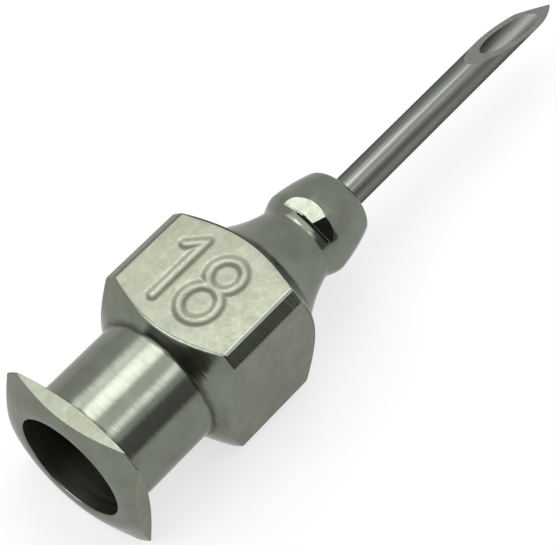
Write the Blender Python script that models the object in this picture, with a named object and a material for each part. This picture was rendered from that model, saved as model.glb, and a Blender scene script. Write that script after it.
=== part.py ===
# Veterinary hypodermic needle: a turned hub with a syringe lock at its mouth, a
# square body and a waisted nose, and a bevelled cannula staked into the nose.
# It lies on one flat of the square with its point toward +X. The hub's axis is
# level, z = 0 is the surface under it, and x = 0 is the middle of its length.
# Sizes are in metres. Lengths along the hub are measured from its mouth.

import math

import bmesh
import bpy
from mathutils import Matrix, Vector

MM = 0.001

# Square bar that the hub is turned from
BAR_ACROSS_FLATS = 5.90 * MM

# Lock flange at the mouth, whose corners turn into a syringe's threaded collar
MOUTH_FACE_DIAMETER = 5.32 * MM
FLANGE_CORNER_DIAMETER = 7.62 * MM
FLANGE_CROWN_DEPTH = 0.50 * MM
FLANGE_RIM_WIDTH = 0.05 * MM
FLANGE_BACK_ANGLE = math.radians(15.4)

# Barrel and square body
BARREL_DIAMETER = 4.98 * MM
BARREL_LENGTH = 3.56 * MM
BODY_CORNER_DIAMETER = 7.74 * MM
BODY_CORNER_LENGTH = 3.49 * MM
SHOULDER_ANGLE = math.radians(32)
END_CHAMFER_ANGLE = math.radians(31)

# Waist and nose
WAIST_ROOT_DIAMETER = 4.96 * MM
WAIST_DIAMETER = 3.16 * MM
WAIST_LENGTH = 2.10 * MM
WAIST_HOLLOW = 0.10 * MM
NOSE_CROWN_DIAMETER = 3.57 * MM
NOSE_RISE_LENGTH = 0.60 * MM
NOSE_LENGTH = 2.50 * MM
NOSE_END_DIAMETER = 2.76 * MM
NOSE_EDGE_RADIUS = 0.32 * MM
NOSE_RISE_BULGE = 0.05 * MM
NOSE_FALL_BULGE = 0.06 * MM
CORNER_FILLET_RADIUS = 0.14 * MM

# Socket, the standard 6 per cent syringe taper, and the way into the cannula
SOCKET_MOUTH_DIAMETER = 4.34 * MM
SOCKET_TAPER = 0.06
SOCKET_DEPTH = 7.60 * MM
SOCKET_EDGE_CHAMFER = 0.06 * MM
DRILL_POINT_ANGLE = math.radians(118)
PASSAGE_DIAMETER = 0.90 * MM
PASSAGE_LENGTH = 0.50 * MM

# Cannula, 18 gauge
CANNULA_DIAMETER = 1.27 * MM
CANNULA_BORE_DIAMETER = 0.84 * MM
CANNULA_EXPOSED_LENGTH = 12.70 * MM
CANNULA_SEAT_CLEARANCE = 0.02 * MM

# Ground point: one long bevel, then two side facets that meet at the tip
BEVEL_LENGTH = 4.20 * MM
BEVEL_TURN = math.radians(-24)
FACET_SLOPE = math.radians(27)
FACET_TURN = math.radians(35)

# Stake marks that lock the cannula, one over the other across the nose
STAKE_DEPTH = 0.40 * MM
STAKE_FLAT_WIDTH = 0.10 * MM
STAKE_WALL_ANGLE = math.radians(46)
STAKE_FROM_NOSE_END = 1.94 * MM
STAKE_TURN = math.radians(13)

# How far a cutter reaches past the metal, as a multiple of the cut
CUTTER_OVERSHOOT = 2

# Steps round each turned piece and along each curve
HUB_STEPS = 72
CANNULA_STEPS = 48
ARC_STEPS = 6
FILLET_STEPS = 3
SHARP_EDGE = math.radians(24)

# Places along the hub that follow from the lengths above
bar_half = BAR_ACROSS_FLATS / 2
barrel_radius = BARREL_DIAMETER / 2
flange_rim_back = FLANGE_CROWN_DEPTH + FLANGE_RIM_WIDTH
flange_back = flange_rim_back + (FLANGE_CORNER_DIAMETER / 2 - barrel_radius) * math.tan(FLANGE_BACK_ANGLE)
shoulder = flange_back + BARREL_LENGTH
body_start = shoulder + (BODY_CORNER_DIAMETER / 2 - barrel_radius) * math.tan(SHOULDER_ANGLE)
body_end = body_start + BODY_CORNER_LENGTH
waist_root = body_end + (BODY_CORNER_DIAMETER - WAIST_ROOT_DIAMETER) / 2 * math.tan(END_CHAMFER_ANGLE)
nose_start = waist_root + WAIST_LENGTH
nose_crown = nose_start + NOSE_RISE_LENGTH
hub_length = nose_start + NOSE_LENGTH
overall_length = hub_length + CANNULA_EXPOSED_LENGTH

# The mouth's centre in the world
mouth = Vector((-overall_length / 2, 0, bar_half))


def clear_scene():
    for item in list(bpy.data.objects):
        bpy.data.objects.remove(item, do_unlink=True)


def metal(name, colour, roughness):
    material = bpy.data.materials.new(name)
    material.use_nodes = True
    shader = material.node_tree.nodes["Principled BSDF"]
    shader.inputs["Base Color"].default_value = (*colour, 1)
    shader.inputs["Metallic"].default_value = 1
    shader.inputs["Roughness"].default_value = roughness
    return material


def arc(start, end, bulge, steps=ARC_STEPS):
    """Points from start to end on an arc whose middle stands bulge outside their chord."""
    start, end = Vector(start), Vector(end)
    chord = end - start
    outward = Vector((-chord.y, chord.x)).normalized()
    radius = (chord.length ** 2 / 4 + bulge ** 2) / (2 * bulge)
    centre = (start + end) / 2 + outward * (bulge - radius)
    half_angle = math.asin(min(1, chord.length / 2 / abs(radius))) * math.copysign(1, bulge)
    points = []
    for step in range(steps + 1):
        angle = half_angle * (1 - 2 * step / steps)
        spoke = outward * math.cos(angle) - chord.normalized() * math.sin(angle)
        points.append(centre + spoke * radius)
    return [tuple(point) for point in points]


def fillet(before, corner, after, radius, steps=FILLET_STEPS):
    """Points that round the corner between two straight runs of an outline."""
    corner = Vector(corner)
    towards_before = (Vector(before) - corner).normalized()
    towards_after = (Vector(after) - corner).normalized()
    half = towards_before.angle(towards_after) / 2
    centre = corner + (towards_before + towards_after).normalized() * radius / math.sin(half)
    first = corner + towards_before * radius / math.tan(half) - centre
    last = corner + towards_after * radius / math.tan(half) - centre
    points = []
    for step in range(steps + 1):
        spoke = first.lerp(last, step / steps).normalized()
        points.append(tuple(centre + spoke * radius))
    return points


def lathe(name, outline, steps, material):
    """A closed outline of (length, radius) points turned about the X axis."""
    mesh = bmesh.new()
    ring = [mesh.verts.new((length, 0, radius)) for length, radius in outline]
    edges = [mesh.edges.new((ring[i], ring[i - 1])) for i in range(len(ring))]
    bmesh.ops.spin(
        mesh, geom=ring + edges, cent=(0, 0, 0), axis=(1, 0, 0),
        angle=math.tau, steps=steps, use_merge=True)
    bmesh.ops.recalc_face_normals(mesh, faces=mesh.faces)
    return finish(name, mesh, material)


def finish(name, mesh, material=None):
    data = bpy.data.meshes.new(name)
    mesh.to_mesh(data)
    mesh.free()
    item = bpy.data.objects.new(name, data)
    bpy.context.collection.objects.link(item)
    if material:
        data.materials.append(material)
    return item


def block(name, low, high):
    """A cutter: a box between two corners, placed later by its matrix."""
    mesh = bmesh.new()
    size = Vector(high) - Vector(low)
    place = Matrix.Translation((Vector(low) + Vector(high)) / 2) @ Matrix.Diagonal((*size, 1))
    bmesh.ops.create_cube(mesh, size=1, matrix=place)
    return as_cutter(finish(name, mesh))


def wedge(name, depth, flat_width, wall_angle, length):
    """A cutter: a blunt V that points down, with its flat edge along Y at z = 0."""
    rise = depth * CUTTER_OVERSHOOT
    foot = flat_width / 2
    top = foot + rise * math.tan(wall_angle)
    mesh = bmesh.new()
    corners = [(-foot, 0), (foot, 0), (top, rise), (-top, rise)]
    face = mesh.faces.new([mesh.verts.new((x, -length / 2, z)) for x, z in corners])
    sweep = bmesh.ops.extrude_face_region(mesh, geom=[face])
    moved = [item for item in sweep["geom"] if isinstance(item, bmesh.types.BMVert)]
    bmesh.ops.translate(mesh, vec=(0, length, 0), verts=moved)
    bmesh.ops.recalc_face_normals(mesh, faces=mesh.faces)
    return as_cutter(finish(name, mesh))


def as_cutter(item):
    item.display_type = "WIRE"
    item.hide_render = True
    return item


def cut(target, cutter, operation="DIFFERENCE"):
    change = target.modifiers.new(cutter.name, "BOOLEAN")
    change.operation = operation
    change.object = cutter
    change.solver = "EXACT"


def smooth(item):
    item.data.shade_smooth()
    item.data.set_sharp_from_angle(angle=SHARP_EDGE)


def hub_outside():
    """The turned outline, from the mouth's edge to the face of the nose."""
    crown_edge = (0, MOUTH_FACE_DIAMETER / 2)
    rim_front = (FLANGE_CROWN_DEPTH, FLANGE_CORNER_DIAMETER / 2)
    rim_back = (flange_rim_back, FLANGE_CORNER_DIAMETER / 2)
    barrel_front = (flange_back, barrel_radius)
    barrel_rear = (shoulder, barrel_radius)
    corner_start = (body_start, BODY_CORNER_DIAMETER / 2)
    corner_end = (body_end, BODY_CORNER_DIAMETER / 2)
    root = (waist_root, WAIST_ROOT_DIAMETER / 2)
    waist = (nose_start, WAIST_DIAMETER / 2)
    crown = (nose_crown, NOSE_CROWN_DIAMETER / 2)
    nose_edge = (hub_length, NOSE_END_DIAMETER / 2)
    axis_end = (hub_length, 0)

    outline = [crown_edge, rim_front, rim_back]
    outline += fillet(rim_back, barrel_front, barrel_rear, CORNER_FILLET_RADIUS)
    outline += fillet(barrel_front, barrel_rear, corner_start, CORNER_FILLET_RADIUS)
    outline += [corner_start, corner_end]
    outline += arc(root, waist, -WAIST_HOLLOW)
    outline += arc(waist, crown, NOSE_RISE_BULGE)[1:]
    rounding = fillet(crown, nose_edge, axis_end, NOSE_EDGE_RADIUS, ARC_STEPS)
    outline += arc(crown, rounding[0], NOSE_FALL_BULGE)[1:-1]
    outline += rounding
    return outline


def hub_inside():
    """The way through, from the nose's face back to the mouth."""
    seat_radius = CANNULA_DIAMETER / 2 + CANNULA_SEAT_CLEARANCE
    passage_radius = PASSAGE_DIAMETER / 2
    bottom_radius = socket_radius(SOCKET_DEPTH)
    return [
        (hub_length, seat_radius),
        (seat_start(), seat_radius),
        (seat_start(), passage_radius),
        (drill_end(), passage_radius),
        (SOCKET_DEPTH, bottom_radius),
        (SOCKET_EDGE_CHAMFER, socket_radius(SOCKET_EDGE_CHAMFER)),
        (0, SOCKET_MOUTH_DIAMETER / 2 + SOCKET_EDGE_CHAMFER),
    ]


def socket_radius(depth):
    return (SOCKET_MOUTH_DIAMETER - depth * SOCKET_TAPER) / 2


def drill_end():
    drop = socket_radius(SOCKET_DEPTH) - PASSAGE_DIAMETER / 2
    return SOCKET_DEPTH + drop / math.tan(DRILL_POINT_ANGLE / 2)


def seat_start():
    return drill_end() + PASSAGE_LENGTH


def stake_cutter(name, turn):
    """The mark's flat bottom stands STAKE_DEPTH under the nose's widest circle."""
    cutter = wedge(name, STAKE_DEPTH, STAKE_FLAT_WIDTH, STAKE_WALL_ANGLE, BAR_ACROSS_FLATS)
    place = Vector((hub_length - STAKE_FROM_NOSE_END, 0, NOSE_CROWN_DIAMETER / 2 - STAKE_DEPTH))
    cutter.matrix_world = Matrix.Translation(mouth) @ Matrix.Rotation(turn, 4, "X") @ Matrix.Translation(place)
    return cutter


def build_hub(material):
    hub = lathe("hub", hub_outside() + hub_inside(), HUB_STEPS, material)
    hub.location = mouth
    margin = BAR_ACROSS_FLATS
    bar = block("bar_stock", (-margin, -bar_half, -bar_half), (hub_length + margin, bar_half, bar_half))
    bar.location = mouth
    cut(hub, bar, "INTERSECT")
    cut(hub, stake_cutter("stake_upper", STAKE_TURN))
    cut(hub, stake_cutter("stake_lower", STAKE_TURN + math.pi))
    smooth(hub)
    return hub


def grinding_cutter(name, tip, side_turn, slope):
    """A block whose lower face passes through the tip and rises toward the hub."""
    reach = BEVEL_LENGTH * CUTTER_OVERSHOOT
    cutter = block(name, (-reach, -reach, 0), (reach, reach, reach))
    about_needle = Matrix.Translation(mouth) @ Matrix.Rotation(BEVEL_TURN, 4, "X")
    tilt = Matrix.Rotation(side_turn, 4, "X") @ Matrix.Rotation(slope, 4, "Y")
    cutter.matrix_world = about_needle @ Matrix.Translation(tip) @ tilt
    return cutter


def build_cannula(material):
    radius = CANNULA_DIAMETER / 2
    bore_radius = CANNULA_BORE_DIAMETER / 2
    rear = seat_start() + CANNULA_SEAT_CLEARANCE
    outline = [(rear, radius), (overall_length, radius), (overall_length, bore_radius), (rear, bore_radius)]
    cannula = lathe("cannula", outline, CANNULA_STEPS, material)
    cannula.location = mouth
    tip = Vector((overall_length, 0, -radius))
    bevel_slope = math.atan2(CANNULA_DIAMETER, BEVEL_LENGTH)
    cut(cannula, grinding_cutter("grind_bevel", tip, 0, bevel_slope))
    cut(cannula, grinding_cutter("grind_left_facet", tip, -FACET_TURN, FACET_SLOPE))
    cut(cannula, grinding_cutter("grind_right_facet", tip, FACET_TURN, FACET_SLOPE))
    smooth(cannula)
    return cannula


clear_scene()
nickel = metal("nickel_plated_brass", (0.50, 0.51, 0.47), 0.30)
steel = metal("ground_stainless_steel", (0.56, 0.57, 0.55), 0.22)
build_hub(nickel)
build_cannula(steel)
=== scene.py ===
# Looks for a veterinary hypodermic needle: a nickel plated brass hub, turned from
# square bar, and a ground stainless cannula, lying on a pale floor.
# Shapes are drawn in millimetres, with the mouth's centre at the origin and the
# needle's axis along X, and are set down in the frame, in metres, when finished.

import math

import bmesh
import bpy
from mathutils import Matrix, Vector
from mathutils.kdtree import KDTree


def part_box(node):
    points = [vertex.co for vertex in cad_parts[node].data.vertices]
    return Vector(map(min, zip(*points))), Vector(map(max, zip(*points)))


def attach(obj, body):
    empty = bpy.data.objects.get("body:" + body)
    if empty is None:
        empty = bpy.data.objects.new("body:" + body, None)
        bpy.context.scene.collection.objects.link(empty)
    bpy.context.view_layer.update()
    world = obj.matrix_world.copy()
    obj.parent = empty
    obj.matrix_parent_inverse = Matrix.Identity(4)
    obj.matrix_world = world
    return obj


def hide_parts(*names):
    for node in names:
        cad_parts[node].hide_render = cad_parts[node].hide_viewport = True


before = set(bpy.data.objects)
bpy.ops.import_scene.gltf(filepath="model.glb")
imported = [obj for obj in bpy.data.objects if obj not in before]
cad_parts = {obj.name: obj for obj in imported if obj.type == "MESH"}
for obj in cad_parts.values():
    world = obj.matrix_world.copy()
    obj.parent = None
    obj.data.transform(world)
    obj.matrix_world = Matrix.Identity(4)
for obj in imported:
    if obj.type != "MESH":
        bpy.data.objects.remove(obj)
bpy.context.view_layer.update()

millimetre = 0.001
# Millimetres within which points, rings of points, levels or radii count as the same
same = {"point": 0.0001, "ring": 0.0005, "level": 0.001, "radius": 0.01}
squareOn = 0.9999  # a face whose normal has this much of an axis lies square to it
hubLow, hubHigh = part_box("hub")
mouthCentre = Vector((hubLow.x, 0, (hubLow.z + hubHigh.z) / 2))  # where the drawn origin goes
print("frame loaded, mouth at", tuple(mouthCentre))


def deselectAll():
    if bpy.context.mode != "OBJECT":
        bpy.ops.object.mode_set(mode="OBJECT")
    bpy.ops.object.select_all(action="DESELECT")


def selectOnly(item):
    deselectAll()
    item.select_set(True)
    bpy.context.view_layer.objects.active = item


def openForEditing(item, selectMode="VERT"):
    selectOnly(item)
    bpy.ops.object.mode_set(mode="EDIT")
    bpy.ops.mesh.select_mode(type=selectMode)


def pickVertices(item, isWanted):
    work = bmesh.from_edit_mesh(item.data)
    for vertex in work.verts:
        vertex.select = isWanted(vertex.co)
    work.select_flush_mode()
    bmesh.update_edit_mesh(item.data)


def pickEdges(item, isWanted):
    work = bmesh.from_edit_mesh(item.data)
    for part in list(work.verts) + list(work.edges) + list(work.faces):
        part.select = False
    for edge in work.edges:
        if isWanted(edge):
            edge.select_set(True)
    bmesh.update_edit_mesh(item.data)


def applyModifier(item, kind, **settings):
    selectOnly(item)
    change = item.modifiers.new(kind, kind)
    for name, value in settings.items():
        setattr(change, name, value)
    bpy.ops.object.modifier_apply(modifier=change.name)


# One vertex is drawn along an outline of (length, radius, rounding), then its corners are rounded
def drawOutline(name, corners):
    deselectAll()
    first = Vector((corners[0][0], 0, corners[0][1]))
    bpy.ops.mesh.primitive_plane_add(size=0.1, location=first)
    item = bpy.context.object
    item.name = name
    bpy.ops.object.transform_apply(location=True, rotation=True, scale=True)
    openForEditing(item)
    bpy.ops.mesh.select_all(action="SELECT")
    bpy.ops.mesh.merge(type="CENTER")
    here = first
    for length, radius, rounding in corners[1:] + corners[:1]:
        there = Vector((length, 0, radius))
        bpy.ops.mesh.extrude_region_move(TRANSFORM_OT_translate={"value": there - here})
        here = there
    bpy.ops.mesh.select_all(action="SELECT")
    bpy.ops.mesh.remove_doubles(threshold=same["point"])
    for length, radius, rounding in corners:
        if rounding:
            place = Vector((length, 0, radius))
            pickVertices(item, lambda co: (co - place).length < same["point"])
            bpy.ops.mesh.bevel(offset_type="OFFSET", offset=rounding, segments=6, affect="VERTICES",
                               clamp_overlap=False)
    return item


# The outline, open in edit mode, is turned into a closed solid
def turnSolid(steps):
    bpy.ops.mesh.select_all(action="SELECT")
    bpy.ops.mesh.spin(steps=steps, angle=math.tau, center=(0, 0, 0), axis=(1, 0, 0),
                      use_auto_merge=True)
    bpy.ops.mesh.select_all(action="SELECT")
    bpy.ops.mesh.remove_doubles(threshold=same["ring"])
    bpy.ops.mesh.normals_make_consistent(inside=False)


def isSquareOn(normal):
    return max(abs(normal.y), abs(normal.z)) > squareOn


# Points of a smooth step from one radius to the next, without its ends
def swelled(start, end, steps=10):
    points = []
    for step in range(1, steps):
        share = step / steps
        rise = (1 - math.cos(math.pi * share)) / 2
        points.append((start[0] + (end[0] - start[0]) * share,
                       start[1] + (end[1] - start[1]) * rise, 0))
    return points


# Points of a gently bowed stretch between two places on an outline, without its ends
def bowed(start, end, bulge, steps=8):
    run, rise = end[0] - start[0], end[1] - start[1]
    chord = math.hypot(run, rise)
    points = []
    for step in range(1, steps):
        share = step / steps
        lift = 4 * bulge * share * (1 - share)
        points.append((start[0] + run * share - rise / chord * lift,
                       start[1] + rise * share + run / chord * lift, 0))
    return points


# From drawn millimetres at the origin to metres at the needle's place in the frame
def setDown(item):
    selectOnly(item)
    item.scale = (millimetre,) * 3
    item.location = mouthCentre
    bpy.ops.object.transform_apply(location=True, rotation=True, scale=True)


# The linear value of an sRGB hex colour, by the sRGB curve
def linear(hexColour):
    channels = [int(hexColour[start:start + 2], 16) / 255 for start in (1, 3, 5)]
    return [c / 12.92 if c <= 0.04045 else ((c + 0.055) / 1.055) ** 2.4 for c in channels] + [1]


def addNode(tree, kind, settings=None, inputs=None, links=None):
    node = tree.nodes.new(kind)
    for name, value in (settings or {}).items():
        setattr(node, name, value)
    for name, value in (inputs or {}).items():
        node.inputs[name].default_value = value
    for name, source in (links or {}).items():
        tree.links.new(source, node.inputs[name])
    return node


hub = {
    "steps": 140,
    "barAcrossFlats": 5.90,
    "mouthFaceDiameter": 5.32,
    "mouthFaceRounding": 0.30,
    "flangeCornerDiameter": 7.62,
    "flangeCrownDepth": 0.50,
    "flangeRimWidth": 0.05,
    "flangeBackAngle": math.radians(15.4),
    "barrelDiameter": 4.98,
    "barrelLength": 3.56,
    "bodyCornerDiameter": 7.74,
    "bodyCornerLength": 3.49,
    "shoulderAngle": math.radians(32),
    "endChamferAngle": math.radians(31),
    "waistRootDiameter": 4.96,
    "waistDiameter": 3.16,
    "waistLength": 2.10,
    "waistHollow": 0.10,
    "noseCrownDiameter": 3.57,
    "noseRiseLength": 0.60,
    "noseLength": 2.50,
    "noseEndDiameter": 2.76,
    "noseEdgeRounding": 0.256,
    "noseRiseEase": 0.10,
    "noseFallBulge": 0.06,
    "innerCornerRounding": 0.05,
    "socketMouthDiameter": 4.34,
    "socketMouthRounding": 0.06,
    "socketTaper": 0.06,
    "socketDepth": 7.60,
    "drillCone": 1.10,
    "passageDiameter": 0.90,
    "passageLength": 0.50,
    "cannulaSeatDiameter": 1.31,
    "seatMouthRounding": 0.03,
    "bodyEdgeRounding": 0.08,
    "flangeEdgeRounding": 0.02,
    "flatOutlineStep": 0.035,  # corners closer than this on a flat's outline are made one
}


# Where each part of the hub begins or ends, from the mouth
def hubPlaces():
    flangeDrop = (hub["flangeCornerDiameter"] - hub["barrelDiameter"]) / 2
    flangeRimBack = hub["flangeCrownDepth"] + hub["flangeRimWidth"]
    flangeBack = flangeRimBack + flangeDrop * math.tan(hub["flangeBackAngle"])
    shoulder = flangeBack + hub["barrelLength"]
    bodyRise = (hub["bodyCornerDiameter"] - hub["barrelDiameter"]) / 2
    bodyStart = shoulder + bodyRise * math.tan(hub["shoulderAngle"])
    bodyEnd = bodyStart + hub["bodyCornerLength"]
    endDrop = (hub["bodyCornerDiameter"] - hub["waistRootDiameter"]) / 2
    waistRoot = bodyEnd + endDrop * math.tan(hub["endChamferAngle"])
    noseStart = waistRoot + hub["waistLength"]
    return {
        "flangeRimBack": flangeRimBack, "flangeBack": flangeBack, "shoulder": shoulder,
        "bodyStart": bodyStart, "bodyEnd": bodyEnd, "waistRoot": waistRoot,
        "noseStart": noseStart, "noseCrown": noseStart + hub["noseRiseLength"],
        "noseEnd": noseStart + hub["noseLength"],
    }


places = hubPlaces()


# One outline, outside and inside, is turned and then cut by the flats of the square bar
def makeHub():
    barHalf = hub["barAcrossFlats"] / 2
    corner = hub["bodyCornerDiameter"] / 2
    flangeCorner = hub["flangeCornerDiameter"] / 2
    barrel = hub["barrelDiameter"] / 2
    root = (places["waistRoot"], hub["waistRootDiameter"] / 2, 0)
    waist = (places["noseStart"] - hub["noseRiseEase"], hub["waistDiameter"] / 2, 0)
    crown = (places["noseCrown"] + hub["noseRiseEase"], hub["noseCrownDiameter"] / 2, 0)
    noseEdge = (places["noseEnd"], hub["noseEndDiameter"] / 2, hub["noseEdgeRounding"])
    socketBottom = (hub["socketMouthDiameter"] - hub["socketDepth"] * hub["socketTaper"]) / 2
    drillEnd = hub["socketDepth"] + hub["drillCone"]
    seatStart = drillEnd + hub["passageLength"]
    outside = [
        (0, hub["mouthFaceDiameter"] / 2, hub["mouthFaceRounding"]),
        (hub["flangeCrownDepth"], flangeCorner, 0),
        (places["flangeRimBack"], flangeCorner, 0),
        (places["flangeBack"], barrel, hub["innerCornerRounding"]),
        (places["shoulder"], barrel, hub["innerCornerRounding"]),
        (places["bodyStart"], corner, 0),
        (places["bodyEnd"], corner, 0),
        root,
        *bowed(root, waist, -hub["waistHollow"]),
        waist,
        *swelled(waist, crown),
        crown,
        *bowed(crown, noseEdge, hub["noseFallBulge"]),
        noseEdge,
    ]
    inside = [
        (places["noseEnd"], hub["cannulaSeatDiameter"] / 2, hub["seatMouthRounding"]),
        (seatStart, hub["cannulaSeatDiameter"] / 2, 0),
        (seatStart, hub["passageDiameter"] / 2, 0),
        (drillEnd, hub["passageDiameter"] / 2, 0),
        (hub["socketDepth"], socketBottom, 0),
        (0, hub["socketMouthDiameter"] / 2, hub["socketMouthRounding"]),
    ]
    item = drawOutline("needle_hub", outside + inside)
    turnSolid(hub["steps"])
    # The four flats of the bar, through body and flange
    for quarter in range(4):
        facing = Matrix.Rotation(quarter * math.pi / 2, 3, "X") @ Vector((0, 0, 1))
        bpy.ops.mesh.select_all(action="SELECT")
        bpy.ops.mesh.bisect(plane_co=facing * barHalf, plane_no=facing, use_fill=True,
                            clear_outer=True, threshold=same["point"])

    def onFlat(co):
        return max(abs(co.y), abs(co.z)) > barHalf - same["level"]

    # Corners that nearly meet on a flat's outline are made one, so that its edge rounds evenly
    pickVertices(item, onFlat)
    bpy.ops.mesh.remove_doubles(threshold=hub["flatOutlineStep"])
    bpy.ops.mesh.select_all(action="SELECT")
    bpy.ops.mesh.normals_make_consistent(inside=False)

    def flatOutline(edge):
        flats = [face for face in edge.link_faces
                 if isSquareOn(face.normal) and onFlat(face.calc_center_median())]
        return len(flats) == 1

    def bodyRing(edge):
        radii = [math.hypot(v.co.y, v.co.z) for v in edge.verts]
        lengths = [v.co.x for v in edge.verts]
        level = abs(lengths[0] - lengths[1]) < same["level"]
        fromEnds = [abs(lengths[0] - places[end]) for end in ("bodyStart", "bodyEnd")]
        return level and min(fromEnds) < same["level"] and min(radii) > barHalf + same["level"]

    def bodyEdge(edge):
        return edge.verts[0].co.x > places["flangeBack"] and (flatOutline(edge) or bodyRing(edge))

    def flangeEdge(edge):
        if edge.verts[0].co.x > places["flangeBack"]:
            return False
        radii = [math.hypot(v.co.y, v.co.z) for v in edge.verts]
        level = abs(edge.verts[0].co.x - edge.verts[1].co.x) < same["level"]
        return flatOutline(edge) or (level and min(radii) > flangeCorner - same["radius"])

    bpy.ops.mesh.select_mode(type="EDGE")
    for isWanted, rounding, segments in ((bodyEdge, hub["bodyEdgeRounding"], 3),
                                         (flangeEdge, hub["flangeEdgeRounding"], 2)):
        pickEdges(item, isWanted)
        bpy.ops.mesh.bevel(offset_type="OFFSET", offset=rounding, segments=segments,
                           affect="EDGES", clamp_overlap=False)
    bpy.ops.object.mode_set(mode="OBJECT")
    return item


number = {
    "height": 2.90,
    "middle": 7.06,  # from the mouth to the middle of the digits
    "oneWidth": 0.74,
    "oneCentre": 1.16,
    "oneStemShift": 0.2,  # of its width, from its middle
    "oneFlagWidth": 0.72,  # of its width
    "oneFlagFoot": 0.62,  # of half its height
    "eightWidth": 1.40,
    "eightCentre": -0.42,
    "eightUpperHeight": 0.47,  # of its height
    "eightUpperWidth": 0.90,  # of its width
    "linePoints": 40,
    "loopPoints": 120,
    "strokeDepth": 0.060,
    "strokeCore": 0.05,
    "strokeSlope": 0.25,
    "softening": 3,
    "cell": 0.033,
    "margin": 0.35,
}


# Points along the strokes of the number, tops toward the tip, read from +Y to -Y
def numberStrokes():
    half = number["height"] / 2 - number["strokeCore"]
    points = []

    def line(start, end):
        for step in range(number["linePoints"] + 1):
            points.append(start.lerp(end, step / number["linePoints"]))

    def loop(centre, halfUp, halfAcross):
        for step in range(number["loopPoints"]):
            angle = math.tau * step / number["loopPoints"]
            points.append(centre + Vector((halfUp * math.cos(angle), halfAcross * math.sin(angle))))

    middle = number["middle"]
    stem = number["oneCentre"] - number["oneWidth"] * number["oneStemShift"]
    top = Vector((middle + half, stem))
    flagAcross = stem + number["oneWidth"] * number["oneFlagWidth"]
    line(Vector((middle - half, stem)), top)
    line(top, Vector((middle + half * number["oneFlagFoot"], flagAcross)))
    eightHalf = number["eightWidth"] / 2 - number["strokeCore"]
    upperHalf = half * number["eightUpperHeight"]
    lowerHalf = half - upperHalf
    loop(Vector((middle + half - upperHalf, number["eightCentre"])), upperHalf,
         eightHalf * number["eightUpperWidth"])
    loop(Vector((middle - half + lowerHalf, number["eightCentre"])), lowerHalf, eightHalf)
    return points


# The rectangle of the upper flat that holds the number: its centre, length and width
def numberField():
    left = number["oneCentre"] + number["oneWidth"] / 2 + number["margin"]
    right = number["eightCentre"] - number["eightWidth"] / 2 - number["margin"]
    centre = Vector((number["middle"], (left + right) / 2, hub["barAcrossFlats"] / 2))
    return centre, number["height"] + 2 * number["margin"], left - right


fieldCentre, fieldLength, fieldWidth = numberField()


# A fine grid is set into the upper flat, and the strokes are pressed into it with soft sides
def stampNumber(item):
    ground = fieldCentre.z
    deselectAll()
    bpy.ops.mesh.primitive_grid_add(x_subdivisions=round(fieldLength / number["cell"]),
                                    y_subdivisions=round(fieldWidth / number["cell"]),
                                    size=1, location=fieldCentre)
    tile = bpy.context.object
    tile.scale = (fieldLength, fieldWidth, 1)
    bpy.ops.object.transform_apply(location=True, rotation=True, scale=True)
    points = numberStrokes()
    strokes = KDTree(len(points))
    for index, point in enumerate(points):
        strokes.insert((point.x, point.y, 0), index)
    strokes.balance()
    openForEditing(tile)
    pickVertices(tile, lambda co: strokes.find((co.x, co.y, 0))[2] < number["strokeCore"])
    bpy.ops.transform.translate(value=(0, 0, -number["strokeDepth"]), use_proportional_edit=True,
                                proportional_edit_falloff="SMOOTH",
                                proportional_size=number["strokeSlope"])
    pickVertices(tile, lambda co: co.z < ground - same["ring"])
    bpy.ops.mesh.vertices_smooth(factor=0.5, repeat=number["softening"], xaxis=False, yaxis=False)
    bpy.ops.object.mode_set(mode="OBJECT")
    # The body's upper flat gives way to the tile: it alone there is larger than the tile's cells
    openForEditing(item, "FACE")
    work = bmesh.from_edit_mesh(item.data)
    for face in work.faces:
        level = abs(face.calc_center_median().z - ground) < same["ring"]
        face.select_set(level and face.calc_area() > fieldLength * fieldWidth / 2)
    bmesh.update_edit_mesh(item.data)
    bpy.ops.mesh.delete(type="ONLY_FACE")
    selectOnly(item)
    tile.select_set(True)
    bpy.ops.object.join()
    openForEditing(item, "EDGE")
    pickEdges(item, lambda edge: len(edge.link_faces) == 1)
    bpy.ops.mesh.fill(use_beauty=True)
    bpy.ops.mesh.select_all(action="SELECT")
    bpy.ops.mesh.normals_make_consistent(inside=False)
    bpy.ops.object.mode_set(mode="OBJECT")


stakeMark = {
    "footWidth": 0.01,
    "chiselHeight": 1.0,
    "chiselWidth": 4.0,
    "nearWall": math.radians(14),  # from the radial direction
    "wallLean": 0.43,  # the normals of its walls have more than this along the axis, the nose's less
    "beforeNose": 0.2,  # its walls are looked for from here, before the nose begins,
    "afterCrown": 0.6,  # to here, past the nose's crown,
    "leastRadius": 1.2,  # and no nearer to the axis
    # One mark is struck four times, most of them a little further round the nose
    "strikes": [
        {"turn": math.radians(-5), "along": 12.05, "depth": 0.21, "farWall": math.radians(61)},
        {"turn": math.radians(8), "along": 12.14, "depth": 0.33, "farWall": math.radians(60)},
        {"turn": math.radians(26), "along": 12.10, "depth": 0.32, "farWall": math.radians(54)},
        {"turn": math.radians(26), "along": 11.96, "depth": 0.33, "farWall": math.radians(60)},
    ],
}


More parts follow.
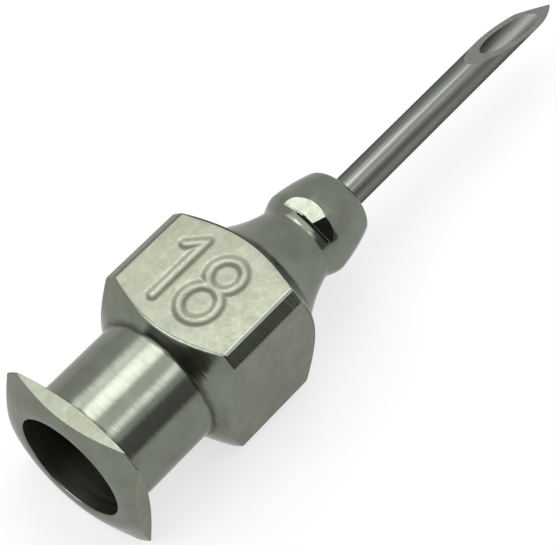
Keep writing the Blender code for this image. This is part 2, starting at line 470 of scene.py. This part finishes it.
# A blunt chisel: a block whose lower end is drawn in to a narrow edge, steep towards the body
def cutStakeMark(item, turn):
    rise = stakeMark["chiselHeight"]
    for strike in stakeMark["strikes"]:
        bottom = hub["noseCrownDiameter"] / 2 - strike["depth"]
        middle = bottom + rise / 2
        along = strike["along"]
        deselectAll()
        bpy.ops.mesh.primitive_cube_add(size=1, location=(along, 0, middle))
        chisel = bpy.context.object
        chisel.scale = (stakeMark["footWidth"], stakeMark["chiselWidth"], rise)
        bpy.ops.object.transform_apply(location=True, rotation=True, scale=True)
        openForEditing(chisel)
        pickVertices(chisel, lambda co: co.z > middle and co.x < along)
        bpy.ops.transform.translate(value=(-rise * math.tan(stakeMark["nearWall"]), 0, 0))
        pickVertices(chisel, lambda co: co.z > middle and co.x > along)
        bpy.ops.transform.translate(value=(rise * math.tan(strike["farWall"]), 0, 0))
        bpy.ops.mesh.select_all(action="SELECT")
        bpy.ops.transform.rotate(value=-(turn + strike["turn"]), orient_axis="X",
                                 center_override=(0, 0, 0))
        bpy.ops.object.mode_set(mode="OBJECT")
        applyModifier(item, "BOOLEAN", operation="DIFFERENCE", object=chisel, solver="EXACT")
        bpy.data.objects.remove(chisel)


cannula = {
    "steps": 96,
    "diameter": 1.27,
    "boreDiameter": 0.84,
    "rearFromMouth": 9.25,
    "rearRounding": 0.02,
    "bevelLength": 5.20,
    "bevelTurn": math.radians(-5),
    "facetSlope": math.radians(23),
    "facetTurn": math.radians(35),
    "wheelSize": 16,  # any size past the point's own
}


# A drawn tube, whose end is ground by three plane wheels that all pass through the tip
def makeCannula():
    radius, bore = cannula["diameter"] / 2, cannula["boreDiameter"] / 2
    rear = cannula["rearFromMouth"]
    tipLength = (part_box("cannula")[1].x - mouthCentre.x) / millimetre
    item = drawOutline("needle_cannula", [
        (rear, radius, cannula["rearRounding"]), (tipLength, radius, 0),
        (tipLength, bore, 0), (rear, bore, 0),
    ])
    turnSolid(cannula["steps"])
    bpy.ops.object.mode_set(mode="OBJECT")
    tip = (tipLength, 0, -radius)
    bevelSlope = math.atan2(cannula["diameter"], cannula["bevelLength"])
    grinds = [(0, bevelSlope), (-cannula["facetTurn"], cannula["facetSlope"]),
              (cannula["facetTurn"], cannula["facetSlope"])]
    for sideTurn, slope in grinds:
        deselectAll()
        location = (tip[0], tip[1], tip[2] + cannula["wheelSize"] / 2)
        bpy.ops.mesh.primitive_cube_add(size=cannula["wheelSize"], location=location)
        wheel = bpy.context.object
        bpy.ops.object.transform_apply(location=True, rotation=True, scale=True)
        openForEditing(wheel)
        bpy.ops.mesh.select_all(action="SELECT")
        bpy.ops.transform.rotate(value=-slope, orient_axis="Y", center_override=tip)
        bpy.ops.transform.rotate(value=-sideTurn, orient_axis="X", center_override=tip)
        bpy.ops.transform.rotate(value=-cannula["bevelTurn"], orient_axis="X",
                                 center_override=(0, 0, 0))
        bpy.ops.object.mode_set(mode="OBJECT")
        applyModifier(item, "BOOLEAN", operation="DIFFERENCE", object=wheel, solver="EXACT")
        bpy.data.objects.remove(wheel)
    return item


noiseSpan = (0.3, 0.7)  # nearly all of a noise lies between these values


# Every metal here is built the same way: fine lines or grain set its shine and relief, and
# slower clouds change its tone. What differs is in the dictionary of each finish.
def makeMetal(finish):
    material = bpy.data.materials.new(finish["name"])
    material.use_nodes = True
    tree = material.node_tree
    shader = tree.nodes["Principled BSDF"]
    shader.inputs["Metallic"].default_value = 1
    shader.inputs["Specular Tint"].default_value = (finish["edgeTint"],) * 3 + (1,)
    place = addNode(tree, "ShaderNodeTexCoord")
    lineStretch = addNode(tree, "ShaderNodeMapping", {}, {"Scale": finish["lineScale"]},
                          {"Vector": place.outputs["Object"]})
    lines = addNode(tree, "ShaderNodeTexNoise", {}, {"Scale": 1, "Detail": 3, "Roughness": 0.6},
                    {"Vector": lineStretch.outputs["Vector"]})
    cloudStretch = addNode(tree, "ShaderNodeMapping", {}, {"Scale": finish["cloudScale"]},
                           {"Vector": place.outputs["Object"]})
    clouds = addNode(tree, "ShaderNodeTexNoise", {}, {"Scale": 1, "Detail": 4, "Roughness": 0.55},
                     {"Vector": cloudStretch.outputs["Vector"]})
    tone = addNode(tree, "ShaderNodeValToRGB", {}, {}, {"Fac": clouds.outputs["Fac"]})
    for stop, position, name in zip(tone.color_ramp.elements, noiseSpan, ("darkTone", "lightTone")):
        stop.position = position
        stop.color = linear(finish[name])
    tree.links.new(tone.outputs["Color"], shader.inputs["Base Color"])
    low, high = noiseSpan
    smooth, rough = finish["roughness"]
    shine = addNode(tree, "ShaderNodeMapRange", {},
                    {"From Min": low, "From Max": high, "To Min": smooth, "To Max": rough},
                    {"Value": lines.outputs["Fac"]})
    tree.links.new(shine.outputs["Result"], shader.inputs["Roughness"])
    relief = addNode(tree, "ShaderNodeBump", {},
                     {"Strength": finish["relief"], "Distance": finish["lineDepth"] * millimetre},
                     {"Height": lines.outputs["Fac"]})
    tree.links.new(relief.outputs["Normal"], shader.inputs["Normal"])
    return material


# Nickel plate over turned brass: a soft grey-green shine, drawn out along the tool's rings
turnedNickel = {
    "name": "turned_nickel_plate",
    "edgeTint": 0.75,
    "darkTone": "#6f7367",
    "lightTone": "#7b8075",
    "cloudScale": (1200, 1200, 1200),  # patches 0.8 mm wide
    "lineScale": (9000, 320, 320),  # rings 0.11 mm apart, drawn three times as coarse as they are
    "roughness": (0.13, 0.22),
    "relief": 0.35,
    "lineDepth": 0.02,
}

# Nickel plate in the reamed socket: thin, dull and dark, with the reamer's rings
reamedNickel = {
    "name": "reamed_nickel_plate",
    "edgeTint": 0.75,
    "darkTone": "#484a42",
    "lightTone": "#585a51",
    "cloudScale": (6000, 400, 400),
    "lineScale": (6000, 400, 400),  # rings 0.16 mm apart, drawn twice as coarse as they are
    "roughness": (0.45, 0.55),
    "relief": 0.4,
    "lineDepth": 0.01,
}

# Nickel plate over drawn and pressed flats: duller and yellower, with a fine even grain
pressedNickel = {
    "name": "pressed_nickel_plate",
    "edgeTint": 0.75,
    "darkTone": "#74776a",
    "lightTone": "#828575",
    "cloudScale": (1500, 1500, 1500),  # patches 0.7 mm wide
    "lineScale": (6500, 6500, 6500),  # grain 0.15 mm wide, drawn twice as coarse as it is
    "roughness": (0.26, 0.38),
    "relief": 0.4,
    "lineDepth": 0.01,
}

# Nickel plate on the struck marks: burnished bright by the punch, with its dents left in
struckNickel = {
    "name": "struck_nickel_plate",
    "edgeTint": 0.75,
    "darkTone": "#6d7165",
    "lightTone": "#7d8277",
    "cloudScale": (4000, 4000, 4000),  # spots 0.25 mm wide
    "lineScale": (5000, 2500, 2500),  # dents 0.2 mm apart
    "roughness": (0.10, 0.18),
    "relief": 0.5,
    "lineDepth": 0.02,
}

# Stainless tube drawn through a die: a hard neutral shine with lines along the tube
drawnSteel = {
    "name": "drawn_stainless_steel",
    "edgeTint": 0.3,
    "darkTone": "#666863",
    "lightTone": "#777a75",
    "cloudScale": (350, 16000, 16000),
    "lineScale": (350, 16000, 16000),  # lines 0.06 mm apart, 3 mm long, drawn twice as coarse
    "roughness": (0.22, 0.26),
    "relief": 0.3,
    "lineDepth": 0.004,
}

# The tube's bore, left matt by the draw, its lines smeared along it
boreSteel = {
    "name": "drawn_stainless_bore",
    "edgeTint": 0.3,
    "darkTone": "#7c7c7a",
    "lightTone": "#8f8f8d",
    "cloudScale": (900, 10000, 10000),
    "lineScale": (900, 10000, 10000),  # lines 0.1 mm apart, drawn three times as coarse
    "roughness": (0.46, 0.54),
    "relief": 0.2,
    "lineDepth": 0.004,
}

# Stainless point ground on a fine wheel: paler than the tube, with short lines across the bevel
groundSteel = {
    "name": "ground_stainless_steel",
    "edgeTint": 0.3,
    "darkTone": "#7f817c",
    "lightTone": "#8f918c",
    "cloudScale": (11000, 700, 700),
    "lineScale": (11000, 700, 700),  # wheel lines 0.09 mm apart, drawn three times as coarse
    "roughness": (0.20, 0.25),
    "relief": 0.3,
    "lineDepth": 0.006,
}


# Painted shade in the turned corners: the plate's colour is made darker at the
# foot of each step and over the whole cone behind the body
paintedShade = {
    "cornerShadeTone": "#8c8c86",
    "coneShadeTone": "#a0a09a",
    "unshaded": "#ffffff",
    "reach": 0.12,
    "pastBodyEnd": 0.10,
    "blotchScale": 2500,  # blotches 0.4 mm wide
    "waver": 0.006,  # how far its edge wanders, as a share of the hub's length
}


# The painted shade that the plate's colour is multiplied by: stops along the axis, at an edge that wanders
def addPaintedShade(material):
    tree = material.node_tree
    shader = tree.nodes["Principled BSDF"]
    metal = shader.inputs["Base Color"].links[0].from_socket
    unshaded, corner, cone = paintedShade["unshaded"], paintedShade["cornerShadeTone"], paintedShade["coneShadeTone"]
    reach = paintedShade["reach"]
    flangeFoot, shoulder, length = places["flangeBack"], places["shoulder"], places["noseEnd"]
    coneStart, coneEnd = places["bodyEnd"] + paintedShade["pastBodyEnd"], places["waistRoot"]
    stops = [
        (0, unshaded), (flangeFoot - 2 * reach, unshaded), (flangeFoot, corner), (flangeFoot + reach, unshaded),
        (shoulder - reach, unshaded), (shoulder, corner), (shoulder + reach, unshaded),
        (coneStart - reach, unshaded), (coneStart, cone), (coneEnd, cone), (coneEnd + reach, unshaded),
        (length - reach, unshaded), (length, corner),
    ]
    place = addNode(tree, "ShaderNodeTexCoord")
    along = addNode(tree, "ShaderNodeSeparateXYZ", {}, {}, {"Vector": place.outputs["Object"]})
    share = addNode(tree, "ShaderNodeMapRange", {},
                    {"From Min": mouthCentre.x, "From Max": mouthCentre.x + length * millimetre},
                    {"Value": along.outputs["X"]})
    blotch = addNode(tree, "ShaderNodeTexNoise", {}, {"Scale": paintedShade["blotchScale"], "Detail": 3},
                     {"Vector": place.outputs["Object"]})
    waver = addNode(tree, "ShaderNodeMapRange", {},
                    {"To Min": -paintedShade["waver"], "To Max": paintedShade["waver"]},
                    {"Value": blotch.outputs["Fac"]})
    wandering = addNode(tree, "ShaderNodeMath", {"operation": "ADD"}, {},
                        {0: share.outputs["Result"], 1: waver.outputs["Result"]})
    shadeRamp = addNode(tree, "ShaderNodeValToRGB", {}, {}, {"Fac": wandering.outputs["Value"]})
    while len(shadeRamp.color_ramp.elements) < len(stops):
        shadeRamp.color_ramp.elements.new(1)
    for stop, (position, colour) in zip(shadeRamp.color_ramp.elements, stops):
        stop.position = position / length
        stop.color = linear(colour)
    # Painted shade: the plate's colour is darkened by the ramp in the corners and on the cone
    shadedBase = addNode(tree, "ShaderNodeVectorMath", {"operation": "MULTIPLY"}, {},
                      {0: metal, 1: shadeRamp.outputs["Color"]})
    tree.links.new(shadedBase.outputs["Vector"], shader.inputs["Base Color"])
    return material


smoothUnder = math.radians(20)  # edges that turn by less are shaded smooth


# Faces of the facetedFinish keep their flat facets
def finishPiece(item, materials, chooseFinish, facetedFinish, node):
    item.data.materials.clear()
    for material in materials:
        item.data.materials.append(material)
    for face in item.data.polygons:
        face.material_index = chooseFinish(face)
    selectOnly(item)
    bpy.ops.object.shade_smooth_by_angle(angle=smoothUnder)
    for face in item.data.polygons:
        if face.material_index == facetedFinish:
            face.use_smooth = False
    applyModifier(item, "WEIGHTED_NORMAL", keep_sharp=True)
    setDown(item)
    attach(item, "root")
    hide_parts(node)


# Each number is the finish's place among the materials of its piece
turnedOutside, pressedFlat, reamedInside, struckMark = range(4)
drawnTube, groundPoint, drawnBore = range(3)

finishLimits = {
    "insideReach": 2.0,  # past the socket's bottom
    "roundWall": 0.98,  # a face of the tube's outside or bore faces the axis by this much
    "leastGrind": 0.01,  # a ground face leans along the axis by more than this,
    "mostGrind": 0.9,  # and by less than the tube's own ends
}


def hubFinish(face):
    place = face.center
    radius = math.hypot(place.y, place.z)
    onNose = (places["noseStart"] - stakeMark["beforeNose"] < place.x
              < places["noseCrown"] + stakeMark["afterCrown"])
    if onNose and abs(face.normal.x) > stakeMark["wallLean"] and radius > stakeMark["leastRadius"]:
        return struckMark
    socketRadius = hub["socketMouthDiameter"] / 2 - same["radius"]
    if radius < socketRadius and place.x < hub["socketDepth"] + finishLimits["insideReach"]:
        return reamedInside
    inField = (abs(place.x - fieldCentre.x) < fieldLength / 2
               and abs(place.y - fieldCentre.y) < fieldWidth / 2
               and 0 <= fieldCentre.z - place.z < 2 * number["strokeDepth"])
    stamped = inField and face.normal.z > 0
    return pressedFlat if isSquareOn(face.normal) or stamped else turnedOutside


def cannulaFinish(face):
    outward = Vector((0, face.center.y, face.center.z)).normalized()
    facing = outward.dot(face.normal)
    if facing < -finishLimits["roundWall"]:
        return drawnBore
    leans = finishLimits["leastGrind"] < abs(face.normal.x) < finishLimits["mostGrind"]
    return groundPoint if leans and facing < finishLimits["roundWall"] else drawnTube


hubPiece = makeHub()
print("hub turned,", len(hubPiece.data.polygons), "faces")
stampNumber(hubPiece)
print("number stamped,", len(hubPiece.data.polygons), "faces")
cutStakeMark(hubPiece, 0)
cutStakeMark(hubPiece, math.pi)
print("stake marks cut,", len(hubPiece.data.polygons), "faces")
# The turned plate gets painted shade in its corners and over the cone behind the body
hubMetals = [addPaintedShade(makeMetal(turnedNickel)), makeMetal(pressedNickel), makeMetal(reamedNickel),
             makeMetal(struckNickel)]
finishPiece(hubPiece, hubMetals, hubFinish, struckMark, "hub")
print("hub finished,", len(hubMetals), "metals")
cannulaPiece = makeCannula()
print("cannula ground,", len(cannulaPiece.data.polygons), "faces")
cannulaMetals = [makeMetal(drawnSteel), makeMetal(groundSteel), makeMetal(boreSteel)]
finishPiece(cannulaPiece, cannulaMetals, cannulaFinish, groundPoint, "cannula")
print("cannula finished,", len(cannulaMetals), "metals")

studio = {
    "wallGrey": 0.92,
    "floorColour": "#e6e6e5",
    "floorSize": 4,
    "floorGlow": 0.7,  # how much of the white the camera and the metal see without shadow
    "lampDistance": 0.45,  # metres from the frame's origin
    "cardDistance": 0.3,
    "lampEnergy": 4,  # for each unit of radiance and square metre
    # Azimuth, elevation, width and height in degrees, as the needle sees them, and radiance
    "softboxes": {
        "overhead": (20, 85, 76, 60, 0.5),
        "key_left": (32, 68, 22, 22, 2.4),
        "far_glow": (62, 47, 18, 16, 0.7),
        "key_glow": (50, 58, 36, 30, 0.5),
        "key_right": (-56, 53, 13, 12, 1.8),
        "mouth_side": (162, 52, 46, 22, 2.8),
    },
    # The same four measures, and a colour
    "cards": {
        "side_card": (-105, 25, 88, 38, "#858585"),
        "camera_card": (-136, 40, 54, 42, "#303030"),
    },
}


def directionTo(azimuth, elevation):
    around, up = math.radians(azimuth), math.radians(elevation)
    return Vector((math.cos(up) * math.cos(around), math.cos(up) * math.sin(around), math.sin(up)))


# How wide something is that takes up so many degrees at that distance
def apparentSize(distance, degrees):
    return 2 * distance * math.tan(math.radians(degrees) / 2)


def makePaper(name, colour):
    material = bpy.data.materials.new(name)
    material.use_nodes = True
    paper = material.node_tree.nodes["Principled BSDF"]
    paper.inputs["Base Color"].default_value = linear(colour)
    paper.inputs["Roughness"].default_value = 1
    paper.inputs["Specular IOR Level"].default_value = 0
    return material


def addSoftbox(name, azimuth, elevation, width, height, radiance):
    direction = directionTo(azimuth, elevation)
    distance = studio["lampDistance"]
    lamp = bpy.data.lights.new(name, "AREA")
    lamp.shape = "RECTANGLE"
    lamp.size = apparentSize(distance, width)
    lamp.size_y = apparentSize(distance, height)
    lamp.energy = studio["lampEnergy"] * lamp.size * lamp.size_y * radiance
    item = bpy.data.objects.new(name, lamp)
    item.location = direction * distance
    item.rotation_euler = direction.to_track_quat("Z", "Y").to_euler()
    item.visible_camera = False
    bpy.context.scene.collection.objects.link(item)


# A grey card out of the camera's sight, which gives the metal its dark bands
def addCard(name, azimuth, elevation, width, height, colour):
    direction = directionTo(azimuth, elevation)
    distance = studio["cardDistance"]
    deselectAll()
    bpy.ops.mesh.primitive_plane_add(size=1, location=direction * distance,
                                     rotation=direction.to_track_quat("Z", "Y").to_euler())
    card = bpy.context.object
    card.name = name
    card.scale = (apparentSize(distance, width), apparentSize(distance, height), 1)
    card.visible_camera = False
    card.data.materials.append(makePaper("grey_card", colour))


# Pale paper, which to the camera and in the metal is partly plain white
def makeFloor():
    deselectAll()
    bpy.ops.mesh.primitive_plane_add(size=studio["floorSize"], location=(0, 0, 0))
    floor = bpy.context.object
    floor.name = "floor"
    material = makePaper("pale_paper", studio["floorColour"])
    tree = material.node_tree
    ray = addNode(tree, "ShaderNodeLightPath")
    seen = ray.outputs["Is Camera Ray"]
    for kind in ("Is Glossy Ray", "Is Transmission Ray"):
        either = addNode(tree, "ShaderNodeMath", {"operation": "MAXIMUM"}, {},
                         {0: seen, 1: ray.outputs[kind]})
        seen = either.outputs["Value"]
    share = addNode(tree, "ShaderNodeMath", {"operation": "MULTIPLY"}, {1: studio["floorGlow"]}, {0: seen})
    white = addNode(tree, "ShaderNodeEmission", {}, {"Color": (1, 1, 1, 1), "Strength": 1})
    mixed = addNode(tree, "ShaderNodeMixShader", {}, {},
                    {"Fac": share.outputs["Value"], 1: tree.nodes["Principled BSDF"].outputs["BSDF"],
                     2: white.outputs["Emission"]})
    tree.links.new(mixed.outputs["Shader"], tree.nodes["Material Output"].inputs["Surface"])
    floor.data.materials.append(material)


def makeStage():
    walls = bpy.data.worlds.new("studio_walls")
    bpy.context.scene.world = walls
    walls.use_nodes = True
    grey = studio["wallGrey"]
    walls.node_tree.nodes["Background"].inputs["Color"].default_value = (grey, grey, grey, 1)
    makeFloor()
    for name, measures in studio["softboxes"].items():
        addSoftbox(name, *measures)
    for name, measures in studio["cards"].items():
        addCard(name, *measures)


makeStage()
print("stage built,", len(studio["softboxes"]), "softboxes and", len(studio["cards"]), "cards")

view = {
    "lens": 146.42,  # mm
    "sensorWidth": 36,
    "distance": 80.01,  # mm from the point looked at
    "along": math.radians(24.267),  # how far the view leans toward the mouth
    "around": math.radians(25.341),  # how far it is turned from straight above toward -Y
    "roll": math.radians(44.797),
    "lookAt": (10.464, -0.304, 0),  # mm from the mouth's centre
    "clip": (0.005, 10),  # metres
}


# The camera of the photo, set by three turns round the point that it looks at
def makeCamera():
    back = Vector((-math.sin(view["along"]), -math.cos(view["along"]) * math.sin(view["around"]),
                   math.cos(view["along"]) * math.cos(view["around"])))
    needle = Vector((1, 0, 0))
    levelRight = (needle - back * needle.dot(back)).normalized()
    levelUp = back.cross(levelRight)
    right = levelRight * math.cos(view["roll"]) - levelUp * math.sin(view["roll"])
    up = levelRight * math.sin(view["roll"]) + levelUp * math.cos(view["roll"])
    turn = Matrix((right, up, back)).transposed().to_4x4()
    place = mouthCentre + (Vector(view["lookAt"]) + back * view["distance"]) * millimetre
    data = bpy.data.cameras.new("camera")
    data.lens = view["lens"]
    data.sensor_width = view["sensorWidth"]
    data.clip_start, data.clip_end = view["clip"]
    camera = bpy.data.objects.new("camera", data)
    camera.matrix_world = Matrix.Translation(place) @ turn
    bpy.context.scene.collection.objects.link(camera)
    bpy.context.scene.camera = camera


makeCamera()
print("camera set")
bpy.context.scene.view_settings.view_transform = "Standard"
bpy.context.view_layer.update()
